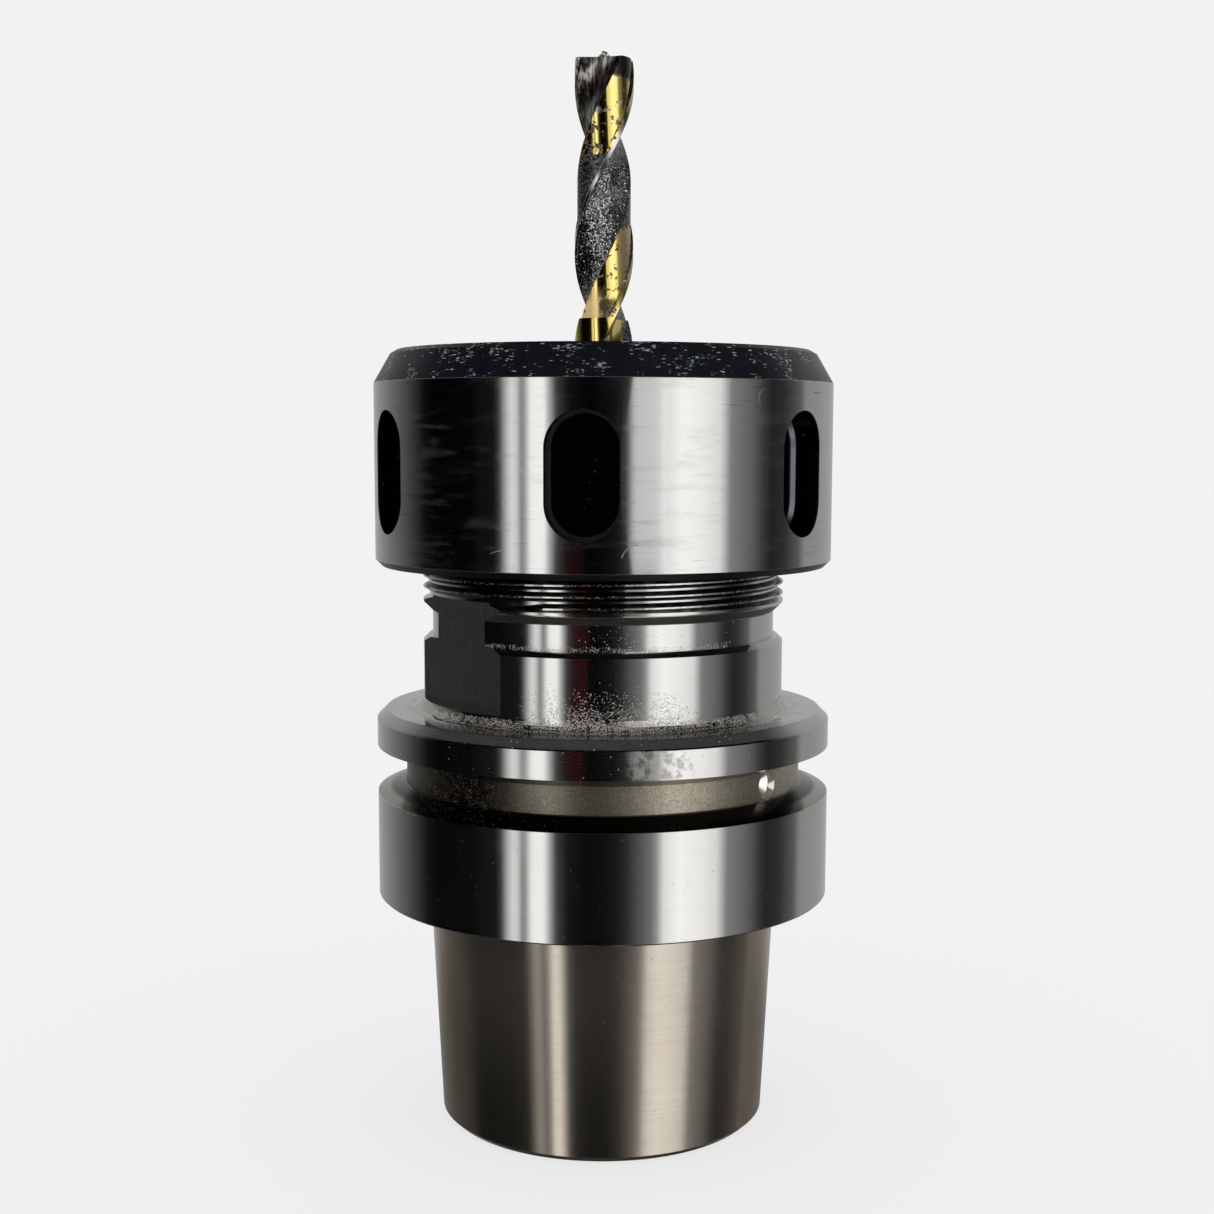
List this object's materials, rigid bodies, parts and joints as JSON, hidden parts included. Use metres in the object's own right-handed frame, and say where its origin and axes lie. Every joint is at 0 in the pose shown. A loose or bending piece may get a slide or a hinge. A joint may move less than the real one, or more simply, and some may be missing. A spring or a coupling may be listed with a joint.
{
  "type": "collet chuck",
  "caption": "Collet chuck with a hollow taper shank, gripper flange, threaded neck and slotted clamping nut, holding a helical slot cutter in a spring collet.",
  "frame": {"origin": "centre of the shank's end face, on which the chuck stands", "axes": "+Z along the spindle axis from the shank's end to the cutter; -Y faces the front, through the middle of one spanner pocket of the nut"},
  "size_m": [0.063, 0.063, 0.147],
  "materials": {
    "holder_steel": "ground and hardened, slightly stained",
    "nut_steel": "ground outside, blackened front, pockets and underside",
    "ring_steel": "hardened, dark",
    "ball_steel": "polished",
    "cage_steel": "stamped",
    "clip_steel": "spring steel, oiled",
    "collet_steel": "ground spring steel",
    "cutter_steel": "coated lands, dark burnt flutes"
  },
  "bodies": {
    "holder": {"holder_body": "holder_steel"},
    "collet_set": {"thrust_ring": "ring_steel", "collet": "collet_steel", "cutter": "cutter_steel"},
    "nut": {"clamping_nut": "nut_steel", "retaining_clip": "clip_steel"},
    "ball_set": {"ball_cage": "cage_steel", "ball_01": "ball_steel", "ball_02": "ball_steel", "ball_03": "ball_steel", "ball_04": "ball_steel", "ball_05": "ball_steel", "ball_06": "ball_steel", "ball_07": "ball_steel", "ball_08": "ball_steel", "ball_09": "ball_steel", "ball_10": "ball_steel", "ball_11": "ball_steel", "ball_12": "ball_steel"}
  },
  "joints": [
    {"name": "collet_slide", "type": "slide", "parent": "holder", "child": "collet_set", "axis": [0, 0, 1], "range_m": [0, 0.0135]},
    {"name": "nut_turn", "type": "hinge", "parent": "collet_set", "child": "nut", "pos_m": [0, 0, 0.0924], "axis": [0, 0, 1], "range_deg": [0, 3240]},
    {"name": "ball_orbit", "type": "hinge", "parent": "collet_set", "child": "ball_set", "pos_m": [0, 0, 0.1015], "axis": [0, 0, 1], "range_deg": [0, 1620]}
  ],
  "couplings": [
    {"joint": "collet_slide", "follows": "nut_turn", "m_per_rad": 0.00023873},
    {"joint": "ball_orbit", "follows": "nut_turn", "ratio": 0.5}
  ]
}
